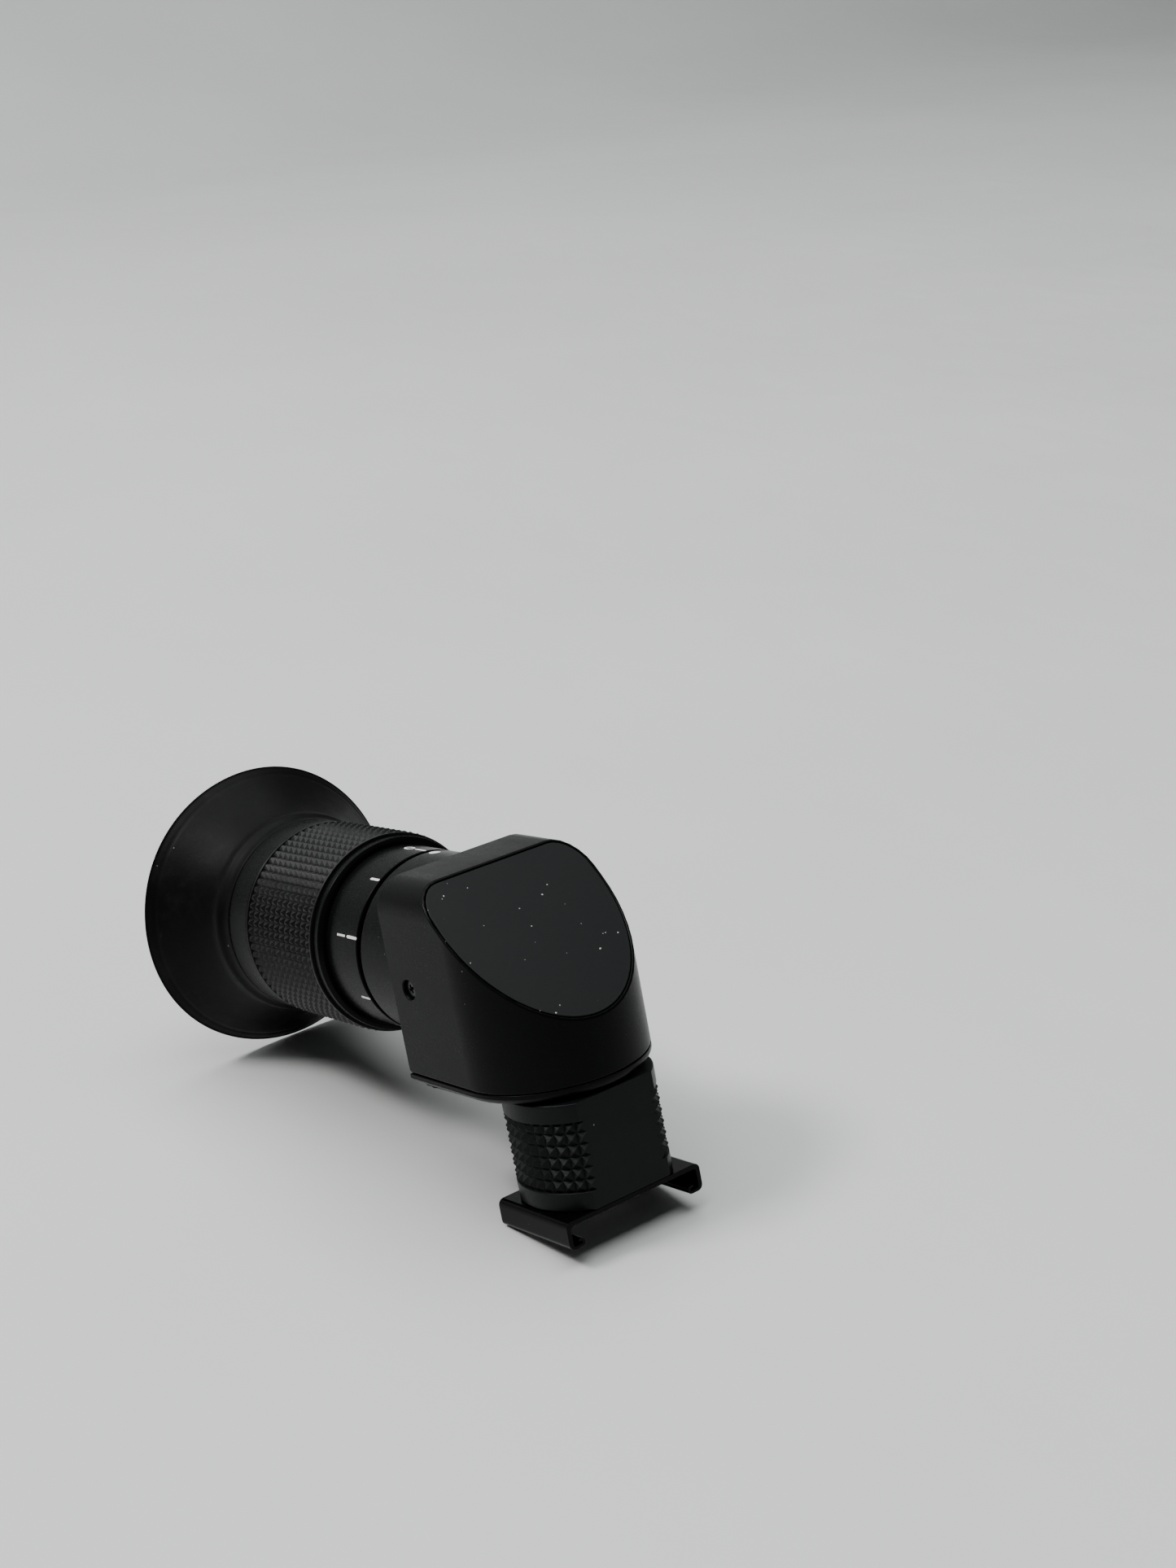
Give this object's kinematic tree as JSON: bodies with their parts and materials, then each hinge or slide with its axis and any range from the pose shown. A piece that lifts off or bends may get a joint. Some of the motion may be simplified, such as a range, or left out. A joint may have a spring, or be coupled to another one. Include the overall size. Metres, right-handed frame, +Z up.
{
  "type": "right-angle camera finder",
  "caption": "Right-angle viewfinder that slides on a camera eyepiece: prism housing turning on a knurled sleeve, focusing ring and flared rubber eyecup.",
  "frame": {"origin": "centre of the bounding box, on the floor that the finder rests on", "axes": "+Y from the shoe towards the eyecup along the floor, +Z up, +X across the finder"},
  "size_m": [0.0446, 0.0972, 0.0483],
  "materials": {
    "satin_black": "satin black paint over aluminium",
    "black_metal": "semi-gloss black over aluminium",
    "rubber": "matte moulded",
    "cover_black": "matte",
    "steel": "plain",
    "dark_steel": "blackened",
    "brass": "turned",
    "glass": "polished"
  },
  "bodies": {
    "shoe": {"shoe_bracket": "black_metal", "shoe_screw_1": "dark_steel", "shoe_screw_2": "dark_steel", "shoe_screw_3": "dark_steel", "shoe_screw_4": "dark_steel", "grip_sleeve": "satin_black"},
    "housing": {"base_plate": "satin_black", "base_screw_1": "dark_steel", "base_screw_2": "dark_steel", "base_screw_3": "dark_steel", "base_screw_4": "dark_steel", "spring_washer": "steel", "swivel_ring": "brass", "objective_lens": "glass", "objective_retainer": "black_metal", "prism_housing": "satin_black", "cover_plate": "cover_black", "roof_prism": "glass", "prism_frame": "black_metal", "side_screw_left": "black_metal", "side_screw_right": "black_metal", "field_mask": "black_metal", "fixed_barrel": "satin_black", "barrel_nut": "brass", "focus_stop_ring": "brass", "field_lens": "glass", "field_lens_retainer": "black_metal"},
    "focus_ring": {"focus_core": "black_metal", "scale_ring": "satin_black", "rubber_grip": "rubber", "grip_end_ring": "satin_black", "eyecup": "rubber"},
    "lens_cell": {"lens_cell": "black_metal", "drive_pin": "steel", "collecting_lens": "glass", "lens_spacer": "black_metal", "eye_lens": "glass", "lens_retaining_ring": "black_metal"}
  },
  "joints": [
    {"name": "housing_swivel", "type": "hinge", "parent": "shoe", "child": "housing", "pos_m": [0, -0.03384, 0.03624], "axis": [0, 0.1794, 0.9838], "continuous": true},
    {"name": "focus_turn", "type": "hinge", "parent": "housing", "child": "focus_ring", "pos_m": [0, -0.03384, 0.03624], "axis": [0, 0.9838, -0.1794], "range_deg": [-166, 166]},
    {"name": "cell_slide", "type": "slide", "parent": "housing", "child": "lens_cell", "axis": [0, 0.9838, -0.1794], "range_m": [-0.00265, 0.00265]}
  ],
  "couplings": [
    {"joint": "cell_slide", "follows": "focus_turn", "m_per_rad": 0.00091121}
  ]
}
